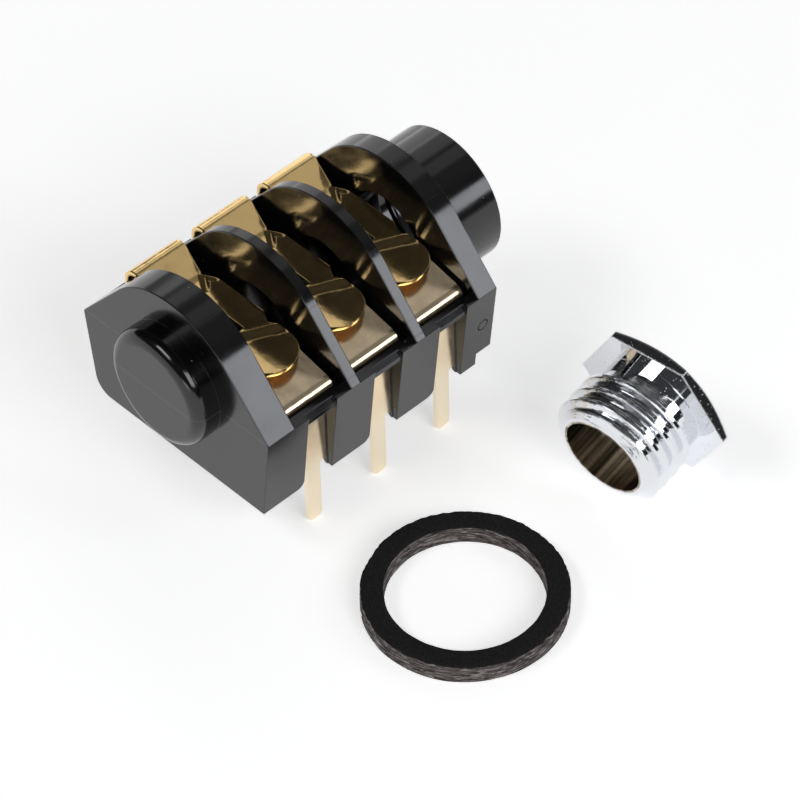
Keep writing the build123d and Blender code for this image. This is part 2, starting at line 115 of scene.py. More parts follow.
def add(tree, kind, inputs=(), **settings):
    """Add a node. inputs maps a socket's name or number to a value or to another node's output."""
    node = tree.nodes.new(kind)
    for name, value in settings.items():
        setattr(node, name, value)
    for name, value in dict(inputs).items():
        if isinstance(value, bpy.types.NodeSocket):
            tree.links.new(value, node.inputs[name])
        else:
            node.inputs[name].default_value = value
    return node


def new_material(name):
    """An empty material with its tree."""
    material = bpy.data.materials.new(name)
    material.use_nodes = True
    material.node_tree.nodes.clear()
    return material, material.node_tree


# %% [markdown]
# ## The floor
# The floor is white paper. Light Path tells the shader which kind of ray asks: the camera and mirror-
# like surfaces get a little more white added, so that paper reads as white as the photograph's
# background, while the light that the floor throws back onto the object stays that of plain paper. The
# shadow stays too.

# %% Floor
floor_level = cad_box[0][2]
floor_half = 3.0
floor_corners = [(-1, -1), (1, -1), (1, 1), (-1, 1)]
floor_mesh = bpy.data.meshes.new("studio_floor")
floor_mesh.from_pydata(
    [(x * floor_half, y * floor_half, floor_level) for x, y in floor_corners], [], [(0, 1, 2, 3)])
floor = bpy.data.objects.new("studio_floor", floor_mesh)
bpy.context.collection.objects.link(floor)

paper_glow = 0.55
paper, tree = new_material("white studio paper")
path = add(tree, "ShaderNodeLightPath")
seen = add(tree, "ShaderNodeMath", {
    0: path.outputs["Is Camera Ray"], 1: path.outputs["Is Glossy Ray"]}, operation="MAXIMUM")
seen = add(tree, "ShaderNodeMath", {
    0: seen.outputs[0], 1: path.outputs["Is Transmission Ray"]}, operation="MAXIMUM")
extra = add(tree, "ShaderNodeMath", {0: seen.outputs[0], 1: paper_glow}, operation="MULTIPLY")
glow = add(tree, "ShaderNodeEmission", {"Color": srgb("#ffffff"), "Strength": extra.outputs[0]})
sheet_paper = add(tree, "ShaderNodeBsdfDiffuse", {"Color": srgb("#f6f6f6")})
both = add(tree, "ShaderNodeAddShader", {0: sheet_paper.outputs[0], 1: glow.outputs[0]})
add(tree, "ShaderNodeOutputMaterial", {"Surface": both.outputs[0]})
floor_mesh.materials.append(paper)
print("floor at", round(floor_level / mm, 2), "mm")

# %% [markdown]
# ## The lamps
# Small shiny things are lit by what they reflect, so each lamp is given by the direction in which the
# object sees it, the half angles that it fills sideways and upwards, and its radiance, where 1 is
# white. A lamp's power follows from its area and radiance. The slopes of the housing mirror a small
# bright lamp low on the right, the plates show two large dim cards behind, and a small bright lamp high
# on the left comes back to the camera by way of the plates and the ribs. A tall card behind on the
# right lies along the folds, and one low on the left whitens the near side of the chrome. A fill in
# front is mirrored by nothing but edges. Between them the room is dark, which gives the black plastic
# and the metal their contrast.

# %% Lamps
middle = Vector((-0.010, -0.006, 0.0))


def lamp_at(name, direction, half_wide, half_high, radiance, colour="#ffffff", distance=0.7):
    """Area lamp seen in a direction from the object, which it fills for the half angles each side."""
    towards = Vector(direction).normalized()
    wide = 2 * distance * math.tan(math.radians(half_wide))
    high = 2 * distance * math.tan(math.radians(half_high))
    data = bpy.data.lights.new(name, "AREA")
    data.shape = "RECTANGLE"
    data.size = wide
    data.size_y = high
    data.color = srgb(colour)[:3]
    data.energy = math.pi * wide * high * radiance
    lamp = bpy.data.objects.new(name, data)
    bpy.context.collection.objects.link(lamp)
    lamp.location = middle + towards * distance
    lamp.rotation_euler = (-towards).to_track_quat("-Z", "Y").to_euler()
    print(name, round(wide, 3), "by", round(high, 3), "m,", round(data.energy, 2), "W")
    return lamp


lamp_at("low_key_lamp", (0.476, -0.785, 0.397), 8.0, 9.0, 4.8, "#f6f9ff")
lamp_at("high_lamp", (-0.591, 0.215, 0.777), 14.0, 7.0, 5.0)
lamp_at("back_softbox", (0.580, 0.080, 0.810), 9.0, 12.0, 0.29)
lamp_at("back_card", (0.560, 0.520, 0.645), 10.0, 12.0, 0.50)
lamp_at("tall_card", (0.521, 0.802, 0.292), 5.0, 17.0, 1.0)
lamp_at("front_fill", (-0.140, -0.800, 0.580), 15.0, 13.0, 4.0)
lamp_at("left_card", (-0.850, -0.490, 0.190), 9.0, 5.0, 1.8)

# %% [markdown]
# ## The room
# The world is a room: white paper at and below the horizon, which stands a little higher on the left
# and ends below the key lamp, and a dark ceiling that grows lighter towards the far wall and the near
# one, but stays dark round the key lamp. Its colour depends on the direction alone.

# %% World
world = bpy.data.worlds.new("studio")
bpy.context.scene.world = world
world.use_nodes = True
tree = world.node_tree
tree.nodes.clear()
where = add(tree, "ShaderNodeTexCoord")
direction = add(tree, "ShaderNodeSeparateXYZ", {0: where.outputs["Generated"]})
far_wall = add(tree, "ShaderNodeMapRange", {
    "Value": direction.outputs["X"], "From Min": 0.25, "From Max": 0.46, "To Min": 0.02, "To Max": 0.19},
    interpolation_type="SMOOTHSTEP")
near_wall = add(tree, "ShaderNodeMapRange", {
    "Value": direction.outputs["X"], "From Min": -0.25, "From Max": -0.46, "To Min": 0.0, "To Max": 0.035},
    interpolation_type="SMOOTHSTEP")
left_rise = add(tree, "ShaderNodeMapRange", {
    "Value": direction.outputs["X"], "From Min": 0.0, "From Max": -0.60, "To Min": 0.105, "To Max": 0.23})
to_key = add(tree, "ShaderNodeVectorMath", {
    0: where.outputs["Generated"], 1: (0.54, -0.84, 0.0)}, operation="DOT_PRODUCT")
gap = add(tree, "ShaderNodeMapRange", {
    "Value": to_key.outputs["Value"], "From Min": 0.55, "From Max": 0.85, "To Min": 0.0, "To Max": 0.16})
around_key = add(tree, "ShaderNodeMapRange", {
    "Value": to_key.outputs["Value"], "From Min": 0.60, "From Max": 0.90, "To Min": 1.0, "To Max": 0.12})
far_wall = add(tree, "ShaderNodeMath", {
    0: far_wall.outputs[0], 1: around_key.outputs[0]}, operation="MULTIPLY")
ceiling = add(tree, "ShaderNodeMath", {
    0: far_wall.outputs[0], 1: near_wall.outputs[0]}, operation="ADD")
horizon = add(tree, "ShaderNodeMath", {
    0: left_rise.outputs[0], 1: gap.outputs[0]}, operation="SUBTRACT")
above = add(tree, "ShaderNodeMath", {
    0: direction.outputs["Z"], 1: horizon.outputs[0]}, operation="SUBTRACT")
strength = add(tree, "ShaderNodeMapRange", {
    "Value": above.outputs[0], "From Min": -0.02, "From Max": 0.02, "To Min": 1.0,
    "To Max": ceiling.outputs[0]}, interpolation_type="SMOOTHSTEP")
room = add(tree, "ShaderNodeBackground", {"Color": srgb("#fcfdff"), "Strength": strength.outputs[0]})
add(tree, "ShaderNodeOutputWorld", {"Surface": room.outputs[0]})
bpy.context.scene.view_settings.view_transform = "Standard"

# %% [markdown]
# ## Round walls
# The solids arrive with round walls made of narrow flats, which a glossy finish would show as stripes.
# The true normal of a turned or bored wall points straight away from its axis, so the shader works it
# out from the place on the wall. It is used only where the flat's own normal is within a few degrees of
# it.

# %% Normals of round walls
def away_from_axis(tree, spoke, walls, within=0.03, lean=4.0):
    """Mask and normal of round walls. spoke is the vector from the axis, walls their radii in mm.

    A flat counts as wall within a distance in mm of a radius and a lean in degrees of the true normal.
    """
    shape = add(tree, "ShaderNodeNewGeometry")
    length = add(tree, "ShaderNodeVectorMath", {0: spoke}, operation="LENGTH")
    unit = add(tree, "ShaderNodeVectorMath", {0: spoke}, operation="NORMALIZE")
    facing = add(tree, "ShaderNodeVectorMath", {
        0: shape.outputs["Normal"], 1: unit.outputs[0]}, operation="DOT_PRODUCT")
    side = add(tree, "ShaderNodeMath", {0: facing.outputs["Value"]}, operation="SIGN")
    normal = add(tree, "ShaderNodeVectorMath", {
        0: unit.outputs[0], "Scale": side.outputs[0]}, operation="SCALE")
    straight = add(tree, "ShaderNodeMath", {0: facing.outputs["Value"]}, operation="ABSOLUTE")
    mask = add(tree, "ShaderNodeMath", {
        0: straight.outputs[0], 1: math.cos(math.radians(lean))}, operation="GREATER_THAN")
    on_wall = None
    for wall in walls:
        here = add(tree, "ShaderNodeMath", {
            0: length.outputs["Value"], 1: wall * mm, 2: within * mm}, operation="COMPARE")
        on_wall = here if on_wall is None else add(
            tree, "ShaderNodeMath", {0: on_wall.outputs[0], 1: here.outputs[0]}, operation="MAXIMUM")
    mask = add(tree, "ShaderNodeMath", {
        0: mask.outputs[0], 1: on_wall.outputs[0]}, operation="MULTIPLY")
    return mask.outputs[0], normal.outputs[0], length.outputs["Value"]


print("round walls get the normals of true cylinders")

# %% [markdown]
# ## Glossy black housing
# The housing is injection moulded nylon, coloured black all through. The polished mould leaves it
# glossy, with a faint orange peel, soft patches where the plastic flowed and cooled, and fine rubbed
# scratches. Where the parts of the mould met, a hair line runs round it at the height of the side
# walls' tops, and across the boss. On the tail end only, it is pressed in as a fine groove and painted
# lighter grey, a painted highlight of the seam.

# %% Moulded black nylon
plug_r, pocket_r, thread_wall_r, boss_r, nose_r, dome_r = 3.30, 3.55, 4.20, 4.68, 5.40, 7.25
boss_end_x, boss_round = -24.20, 0.95
seam_z, tail_x = 0.05, -22.05
mark_x, mark_z, mark_r = -1.05, -3.31, 0.45
nylon, tree = new_material("moulded black nylon, gloss")
where = add(tree, "ShaderNodeTexCoord")
place = add(tree, "ShaderNodeSeparateXYZ", {0: where.outputs["Object"]})
patches = add(tree, "ShaderNodeTexNoise", {
    "Vector": where.outputs["Object"], "Scale": 1 / (3.5 * mm), "Detail": 3.0})
peel = add(tree, "ShaderNodeTexNoise", {
    "Vector": where.outputs["Object"], "Scale": 1 / (0.35 * mm), "Detail": 2.0})
rough = add(tree, "ShaderNodeMapRange", {
    "Value": patches.outputs["Fac"], "From Min": 0.3, "From Max": 0.7, "To Min": 0.11, "To Max": 0.18})
# Scratches: a stretched noise, thresholded so that only its ridges are left
turned = add(tree, "ShaderNodeMapping", {"Vector": where.outputs["Object"], "Rotation": (0.7, 0.5, 0.9),
                                          "Scale": (1 / (6 * mm), 1 / (0.16 * mm), 1 / (0.16 * mm))})
lines = add(tree, "ShaderNodeTexNoise", {"Vector": turned.outputs[0], "Scale": 1.0, "Detail": 1.0})
scratch = add(tree, "ShaderNodeMapRange", {
    "Value": lines.outputs["Fac"], "From Min": 0.70, "From Max": 0.78})
# Specks of dust
dots = add(tree, "ShaderNodeTexVoronoi", {"Vector": where.outputs["Object"], "Scale": 1 / (0.9 * mm)})
dust = add(tree, "ShaderNodeMapRange", {
    "Value": dots.outputs["Distance"], "From Min": 0.035, "From Max": 0.055, "To Min": 1.0, "To Max": 0.0})
sparse = add(tree, "ShaderNodeMapRange", {
    "Value": patches.outputs["Fac"], "From Min": 0.50, "From Max": 0.58})
dust = add(tree, "ShaderNodeMath", {0: dust.outputs[0], 1: sparse.outputs[0]}, operation="MULTIPLY")
# Parting line of the mould, about 0.08 mm wide, just above the tops of the side walls
near_line = add(tree, "ShaderNodeMath", {0: place.outputs["Z"], 1: seam_z * mm}, operation="SUBTRACT")
near_line = add(tree, "ShaderNodeMath", {0: near_line.outputs[0]}, operation="ABSOLUTE")
parting = add(tree, "ShaderNodeMapRange", {
    "Value": near_line.outputs[0], "From Min": 0.02 * mm, "From Max": 0.06 * mm, "To Min": 1.0,
    "To Max": 0.0})
tail_side = add(tree, "ShaderNodeMath", {0: place.outputs["X"], 1: tail_x * mm}, operation="LESS_THAN")
parting = add(tree, "ShaderNodeMath", {
    0: parting.outputs[0], 1: tail_side.outputs[0]}, operation="MULTIPLY")
marks = add(tree, "ShaderNodeMath", {0: scratch.outputs[0], 1: 0.25}, operation="MULTIPLY")
height = add(tree, "ShaderNodeMath", {
    0: peel.outputs["Fac"], 1: 0.10, 2: marks.outputs[0]}, operation="MULTIPLY_ADD")
height = add(tree, "ShaderNodeMath", {
    0: parting.outputs[0], 1: -1.6, 2: height.outputs[0]}, operation="MULTIPLY_ADD")
# Mark of an ejector pin on the flange's -Y side: a round groove
mark = add(tree, "ShaderNodeVectorMath", {
    0: where.outputs["Object"], 1: (mark_x * mm, 0.0, mark_z * mm)}, operation="SUBTRACT")
mark = add(tree, "ShaderNodeVectorMath", {0: mark.outputs[0], 1: (1.0, 0.0, 1.0)}, operation="MULTIPLY")
mark = add(tree, "ShaderNodeVectorMath", {0: mark.outputs[0]}, operation="LENGTH")
groove = add(tree, "ShaderNodeMath", {
    0: mark.outputs["Value"], 1: mark_r * mm, 2: 0.07 * mm}, operation="COMPARE")
near_side = add(tree, "ShaderNodeMath", {0: place.outputs["Y"], 1: -8.0 * mm}, operation="LESS_THAN")
groove = add(tree, "ShaderNodeMath", {
    0: groove.outputs[0], 1: near_side.outputs[0]}, operation="MULTIPLY")
height = add(tree, "ShaderNodeMath", {
    0: groove.outputs[0], 1: -4.0, 2: height.outputs[0]}, operation="MULTIPLY_ADD")
# Edges are broken by the mould, the walls are true cylinders, and the boss ends in a quarter round
rounded = add(tree, "ShaderNodeBevel", {"Radius": 0.09 * mm}, samples=4)
spoke = add(tree, "ShaderNodeVectorMath", {
    0: where.outputs["Object"], 1: (0.0, 1.0, 1.0)}, operation="MULTIPLY")
mask, normal, radius = away_from_axis(
    tree, spoke.outputs[0], (plug_r, pocket_r, thread_wall_r, boss_r, nose_r, dome_r))
true_wall = add(tree, "ShaderNodeMix", {0: mask, 4: rounded.outputs[0], 5: normal}, data_type="VECTOR")
unit = add(tree, "ShaderNodeVectorMath", {0: spoke.outputs[0]}, operation="NORMALIZE")
outward = add(tree, "ShaderNodeMath", {0: radius, 1: (boss_r - boss_round) * mm}, operation="SUBTRACT")
backward = add(tree, "ShaderNodeMath", {
    0: place.outputs["X"], 1: (boss_end_x + boss_round) * mm}, operation="SUBTRACT")
ring_part = add(tree, "ShaderNodeVectorMath", {
    0: unit.outputs[0], "Scale": outward.outputs[0]}, operation="SCALE")
along_part = add(tree, "ShaderNodeCombineXYZ", {0: backward.outputs[0]})
from_ring = add(tree, "ShaderNodeVectorMath", {
    0: ring_part.outputs[0], 1: along_part.outputs[0]}, operation="ADD")
from_ring_unit = add(tree, "ShaderNodeVectorMath", {0: from_ring.outputs[0]}, operation="NORMALIZE")
far_from_ring = add(tree, "ShaderNodeVectorMath", {0: from_ring.outputs[0]}, operation="LENGTH")
on_round = add(tree, "ShaderNodeMath", {
    0: far_from_ring.outputs["Value"], 1: boss_round * mm, 2: 0.03 * mm}, operation="COMPARE")
behind = add(tree, "ShaderNodeMath", {0: backward.outputs[0], 1: 0.0}, operation="LESS_THAN")
outside = add(tree, "ShaderNodeMath", {0: outward.outputs[0], 1: 0.0}, operation="GREATER_THAN")
on_round = add(tree, "ShaderNodeMath", {
    0: on_round.outputs[0], 1: behind.outputs[0]}, operation="MULTIPLY")
on_round = add(tree, "ShaderNodeMath", {
    0: on_round.outputs[0], 1: outside.outputs[0]}, operation="MULTIPLY")
true_round = add(tree, "ShaderNodeMix", {
    0: on_round.outputs[0], 4: true_wall.outputs[1], 5: from_ring_unit.outputs[0]}, data_type="VECTOR")
bump = add(tree, "ShaderNodeBump", {
    "Height": height.outputs[0], "Normal": true_round.outputs[1], "Strength": 0.35, "Distance": 0.012 * mm})
rough = add(tree, "ShaderNodeMath", {
    0: scratch.outputs[0], 1: 0.12, 2: rough.outputs[0]}, operation="MULTIPLY_ADD")
rough = add(tree, "ShaderNodeMath", {
    0: groove.outputs[0], 1: 0.6, 2: rough.outputs[0]}, operation="MULTIPLY_ADD")
colour = add(tree, "ShaderNodeMix", {
    0: dust.outputs[0], 6: srgb("#0b0b0d"), 7: srgb("#8f8f8f")}, data_type="RGBA")
# The parting line's lighter grey is a painted highlight; its groove is a real bump
painted_seam_highlight = add(tree, "ShaderNodeMath", {0: parting.outputs[0], 1: 0.6}, operation="MULTIPLY")
colour = add(tree, "ShaderNodeMix", {
    0: painted_seam_highlight.outputs[0], 6: colour.outputs[2], 7: srgb("#4a4a4c")}, data_type="RGBA")
shader = add(tree, "ShaderNodeBsdfPrincipled", {
    "Base Color": colour.outputs[2], "Roughness": rough.outputs[0], "Normal": bump.outputs[0], "IOR": 1.58})
add(tree, "ShaderNodeOutputMaterial", {"Surface": shader.outputs[0]})
print(nylon.name)

# %% [markdown]
# ## Gold plated strip
# The contacts are stamped from bronze strip and plated with a thin bright gold. Rolling leaves fine
# lines along the strip, and bending leaves soft ripples. The spring contacts have the fuller gold, the
# break contacts a paler flash of it, and all the pins are paler still. One function makes both finishes
# from a colour and a range of roughness.

# %% Gold finishes
def gold_plate(name, colour, smooth, dull):
    """Plated strip metal. smooth and dull are the ends of its range of roughness."""
    material, tree = new_material(name)
    where = add(tree, "ShaderNodeTexCoord")
    rolled = add(tree, "ShaderNodeMapping", {"Vector": where.outputs["Object"],
                                              "Scale": (1 / (0.12 * mm), 1 / (4 * mm), 1 / (4 * mm))})
    lines = add(tree, "ShaderNodeTexNoise", {"Vector": rolled.outputs[0], "Scale": 1.0, "Detail": 2.0})
    ripple = add(tree, "ShaderNodeTexNoise", {
        "Vector": where.outputs["Object"], "Scale": 1 / (1.1 * mm), "Detail": 2.0})
    rough = add(tree, "ShaderNodeMapRange", {
        "Value": ripple.outputs["Fac"], "From Min": 0.3, "From Max": 0.7, "To Min": smooth, "To Max": dull})
    specks = add(tree, "ShaderNodeTexVoronoi", {
        "Vector": where.outputs["Object"], "Scale": 1 / (0.55 * mm)})
    pits = add(tree, "ShaderNodeMapRange", {
        "Value": specks.outputs["Distance"], "From Min": 0.05, "From Max": 0.09, "To Min": 1.0,
        "To Max": 0.0})
    height = add(tree, "ShaderNodeMath", {
        0: lines.outputs["Fac"], 1: 0.05, 2: ripple.outputs["Fac"]}, operation="MULTIPLY_ADD")
    height = add(tree, "ShaderNodeMath", {
        0: pits.outputs[0], 1: 0.10, 2: height.outputs[0]}, operation="MULTIPLY_ADD")
    bump = add(tree, "ShaderNodeBump", {"Height": height.outputs[0], "Strength": 0.5, "Distance": 0.03 * mm})
    # The pins' plating is thinner and paler, from the edge of the housing down
    place = add(tree, "ShaderNodeSeparateXYZ", {0: where.outputs["Object"]})
    thinner = add(tree, "ShaderNodeMapRange", {
        "Value": place.outputs["Z"], "From Min": -4.5 * mm, "From Max": -7.0 * mm})
    shade = add(tree, "ShaderNodeMix", {
        0: thinner.outputs[0], 6: srgb(colour), 7: srgb("#f6e7cc")}, data_type="RGBA")
    shader = add(tree, "ShaderNodeBsdfPrincipled", {
        "Base Color": shade.outputs[2], "Metallic": 0.96, "Roughness": rough.outputs[0],
        "Normal": bump.outputs[0]})
    add(tree, "ShaderNodeOutputMaterial", {"Surface": shader.outputs[0]})
    return material


gold = gold_plate("bright gold plate on bronze strip", "#f0ce8e", 0.09, 0.14)
pale_gold = gold_plate("pale gold flash on bronze strip", "#f1dbb8", 0.18, 0.27)
print(gold.name, "and", pale_gold.name)

# %% [markdown]
# ## Chrome
# The ferrule is turned from brass and chromed. Chrome is a nearly perfect mirror of a cool grey. The
# tool left fine rings and chatter on the thread, and dust lies on the hexagon, most on its -Y side. The
# bore is painted darker and warmer, with light and dark streaks along its length: painted shade and
# painted reflection. It is found by its distance from the ferrule's axis.

# %% Chrome on turned brass
chrome, tree = new_material("polished chrome on turned brass")
where = add(tree, "ShaderNodeTexCoord")
hexagon_half, thread_length, thread_lead = 10.90 / 2, 5.80, 0.62
ferrule_bore_r, thread_root_r, thread_crest_r = 3.20, 4.06, 4.62
tilt = math.atan2(hexagon_half - thread_crest_r, thread_length - thread_lead)
turn = math.radians(6.2)
axis = Vector((-math.cos(tilt) * math.cos(turn), -math.cos(tilt) * math.sin(turn), -math.sin(tilt)))
ferrule_face = Vector((4.30, -20.85, -12.10 + hexagon_half * math.cos(tilt))) * mm
from_face = add(tree, "ShaderNodeVectorMath", {
    0: where.outputs["Object"], 1: ferrule_face}, operation="SUBTRACT")
along = add(tree, "ShaderNodeVectorMath", {0: from_face.outputs[0], 1: axis}, operation="DOT_PRODUCT")
across = add(tree, "ShaderNodeVectorMath", {
    0: from_face.outputs[0], 1: axis}, operation="CROSS_PRODUCT")
radius = add(tree, "ShaderNodeVectorMath", {0: across.outputs[0]}, operation="LENGTH")
bore = add(tree, "ShaderNodeMapRange", {
    "Value": radius.outputs["Value"], "From Min": 3.30 * mm, "From Max": 3.42 * mm, "To Min": 1.0,
    "To Max": 0.0})
chatter = add(tree, "ShaderNodeTexNoise", {
    "Vector": where.outputs["Object"], "Scale": 1 / (0.45 * mm), "Detail": 3.0})
rings = add(tree, "ShaderNodeMath", {
    0: along.outputs["Value"], 1: 2 * math.pi / (0.16 * mm)}, operation="MULTIPLY")
rings = add(tree, "ShaderNodeMath", {0: rings.outputs[0]}, operation="SINE")
on_thread = add(tree, "ShaderNodeMapRange", {
    "Value": along.outputs["Value"], "From Min": 1.0 * mm, "From Max": 1.5 * mm})
# Chatter of the threading tool: noise that is short along the axis and long round it
squeezed = add(tree, "ShaderNodeVectorMath", {0: across.outputs[0], "Scale": 2 / mm}, operation="SCALE")
by_depth = add(tree, "ShaderNodeMath", {
    0: along.outputs["Value"], 1: 1 / (0.05 * mm)}, operation="MULTIPLY")
by_depth = add(tree, "ShaderNodeCombineXYZ", {0: by_depth.outputs[0]})
grain_place = add(tree, "ShaderNodeVectorMath", {
    0: squeezed.outputs[0], 1: by_depth.outputs[0]}, operation="ADD")
grain = add(tree, "ShaderNodeTexNoise", {"Vector": grain_place.outputs[0], "Scale": 1.0, "Detail": 2.0})
height = add(tree, "ShaderNodeMath", {
    0: rings.outputs[0], 1: 0.06, 2: chatter.outputs["Fac"]}, operation="MULTIPLY_ADD")
height = add(tree, "ShaderNodeMath", {
    0: grain.outputs["Fac"], 1: 0.55, 2: height.outputs[0]}, operation="MULTIPLY_ADD")
height = add(tree, "ShaderNodeMath", {
    0: height.outputs[0], 1: on_thread.outputs[0]}, operation="MULTIPLY")
rounded = add(tree, "ShaderNodeBevel", {"Radius": 0.20 * mm}, samples=4)
shift = add(tree, "ShaderNodeVectorMath", {0: axis, "Scale": along.outputs["Value"]}, operation="SCALE")
spoke = add(tree, "ShaderNodeVectorMath", {
    0: from_face.outputs[0], 1: shift.outputs[0]}, operation="SUBTRACT")
mask, normal, _ = away_from_axis(
    tree, spoke.outputs[0], (ferrule_bore_r, thread_root_r, thread_crest_r), within=0.08, lean=11.0)
true_wall = add(tree, "ShaderNodeMix", {0: mask, 4: rounded.outputs[0], 5: normal}, data_type="VECTOR")
bump = add(tree, "ShaderNodeBump", {
    "Height": height.outputs[0], "Normal": true_wall.outputs[1], "Strength": 0.6, "Distance": 0.03 * mm})
# Painted shade and reflection in the bore: streaks of noise over the direction across the axis, which
# changes by the angle alone
spoke = add(tree, "ShaderNodeVectorMath", {0: across.outputs[0]}, operation="NORMALIZE")
bore_reflection_noise = add(tree, "ShaderNodeTexNoise", {
    "Vector": spoke.outputs[0], "Scale": 5.0, "Detail": 5.0, "Roughness": 0.7})
painted_bore_reflection = add(tree, "ShaderNodeValToRGB", {0: bore_reflection_noise.outputs["Fac"]})
painted_bore_reflection.color_ramp.elements[0].position = 0.40
painted_bore_reflection.color_ramp.elements[0].color = srgb("#4b443a")
painted_bore_reflection.color_ramp.elements[1].position = 0.66
painted_bore_reflection.color_ramp.elements[1].color = srgb("#d8ccb8")
# The bore's colour is painted shade and painted reflection, in place of the chrome's grey
colour = add(tree, "ShaderNodeMix", {
    0: bore.outputs[0], 6: srgb("#e2e4e8"), 7: painted_bore_reflection.outputs[0]}, data_type="RGBA")
rough = add(tree, "ShaderNodeMapRange", {
    "Value": bore.outputs[0], "From Min": 0.0, "From Max": 1.0, "To Min": 0.04, "To Max": 0.22})
# Dust: small pale specks that are no metal
motes = add(tree, "ShaderNodeTexVoronoi", {"Vector": where.outputs["Object"], "Scale": 1 / (0.27 * mm)})
mote = add(tree, "ShaderNodeMapRange", {
    "Value": motes.outputs["Distance"], "From Min": 0.17, "From Max": 0.22, "To Min": 1.0, "To Max": 0.0})
shape = add(tree, "ShaderNodeNewGeometry")
facing = add(tree, "ShaderNodeSeparateXYZ", {0: shape.outputs["True Normal"]})
fewer = add(tree, "ShaderNodeMapRange", {
    "Value": facing.outputs["Y"], "From Min": -0.6, "From Max": -0.3, "To Min": 0.0, "To Max": 0.12})
crowd = add(tree, "ShaderNodeMath", {
    0: chatter.outputs["Fac"], 1: fewer.outputs[0]}, operation="SUBTRACT")
crowd = add(tree, "ShaderNodeMapRange", {"Value": crowd.outputs[0], "From Min": 0.42, "From Max": 0.46})
mote = add(tree, "ShaderNodeMath", {0: mote.outputs[0], 1: crowd.outputs[0]}, operation="MULTIPLY")
on_hexagon = add(tree, "ShaderNodeMath", {0: 1.0, 1: on_thread.outputs[0]}, operation="SUBTRACT")
mote = add(tree, "ShaderNodeMath", {0: mote.outputs[0], 1: on_hexagon.outputs[0]}, operation="MULTIPLY")
colour = add(tree, "ShaderNodeMix", {
    0: mote.outputs[0], 6: colour.outputs[2], 7: srgb("#d9d9d9")}, data_type="RGBA")
metal = add(tree, "ShaderNodeMath", {0: 1.0, 1: mote.outputs[0]}, operation="SUBTRACT")
shader = add(tree, "ShaderNodeBsdfPrincipled", {
    "Base Color": colour.outputs[2], "Metallic": metal.outputs[0], "Roughness": rough.outputs[0],
    "Normal": bump.outputs[0]})
add(tree, "ShaderNodeOutputMaterial", {"Surface": shader.outputs[0]})
print(chrome.name)

# %% [markdown]
# ## Black fibre
# The washer is punched from vulcanised fibre, paper pressed into a hard sheet and dyed black. The top
# is smooth, nearly black and matt. Punching breaks the sides open, so they show grey layers of torn
# paper.

# %% Pressed fibre
fibre, tree = new_material("black vulcanised fibre, punched")
where = add(tree, "ShaderNodeTexCoord")
shape = add(tree, "ShaderNodeNewGeometry")
upward = add(tree, "ShaderNodeSeparateXYZ", {0: shape.outputs["Normal"]})
flat = add(tree, "ShaderNodeMath", {0: upward.outputs["Z"]}, operation="ABSOLUTE")
side = add(tree, "ShaderNodeMapRange", {
    "Value": flat.outputs[0], "From Min": 0.45, "From Max": 0.80, "To Min": 1.0, "To Max": 0.0})
layers = add(tree, "ShaderNodeMapping", {"Vector": where.outputs["Object"],
                                          "Scale": (1 / (0.9 * mm), 1 / (0.9 * mm), 1 / (0.13 * mm))})
strata = add(tree, "ShaderNodeTexNoise", {
    "Vector": layers.outputs[0], "Scale": 1.0, "Detail": 4.0, "Roughness": 0.65, "Distortion": 0.6})
fluff = add(tree, "ShaderNodeTexNoise", {
    "Vector": where.outputs["Object"], "Scale": 1 / (0.14 * mm), "Detail": 4.0})
torn = add(tree, "ShaderNodeValToRGB", {0: strata.outputs["Fac"]})
torn.color_ramp.elements[0].position = 0.36
torn.color_ramp.elements[0].color = srgb("#2b2828")
torn.color_ramp.elements[1].position = 0.72
torn.color_ramp.elements[1].color = srgb("#c9c3bf")
middle_grey = torn.color_ramp.elements.new(0.52)
middle_grey.color = srgb("#665f5d")
top = add(tree, "ShaderNodeValToRGB", {0: fluff.outputs["Fac"]})
top.color_ramp.elements[0].position = 0.35
top.color_ramp.elements[0].color = srgb("#1b1b1c")
top.color_ramp.elements[1].position = 0.80
top.color_ramp.elements[1].color = srgb("#2e2d2e")
colour = add(tree, "ShaderNodeMix", {
    0: side.outputs[0], 6: top.outputs[0], 7: torn.outputs[0]}, data_type="RGBA")
height = add(tree, "ShaderNodeMath", {
    0: strata.outputs["Fac"], 1: side.outputs[0]}, operation="MULTIPLY")
height = add(tree, "ShaderNodeMath", {
    0: fluff.outputs["Fac"], 1: 0.35, 2: height.outputs[0]}, operation="MULTIPLY_ADD")
bump = add(tree, "ShaderNodeBump", {"Height": height.outputs[0], "Strength": 0.8, "Distance": 0.10 * mm})
shader = add(tree, "ShaderNodeBsdfPrincipled", {
    "Base Color": colour.outputs[2], "Roughness": 0.82, "Normal": bump.outputs[0],
    "Specular IOR Level": 0.15})
add(tree, "ShaderNodeOutputMaterial", {"Surface": shader.outputs[0]})
print(fibre.name)

# %% Give the solids their materials
finish = {"housing": nylon, "ferrule": chrome, "washer": fibre,
          "tip_break": pale_gold, "ring_break": pale_gold, "sleeve_break": pale_gold}
for name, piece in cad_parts.items():
    material = finish.get(name, gold)
    if not piece.material_slots:
        piece.data.materials.append(material)
    for slot in piece.material_slots:
        slot.material = material
    print(name, "gets", material.name)
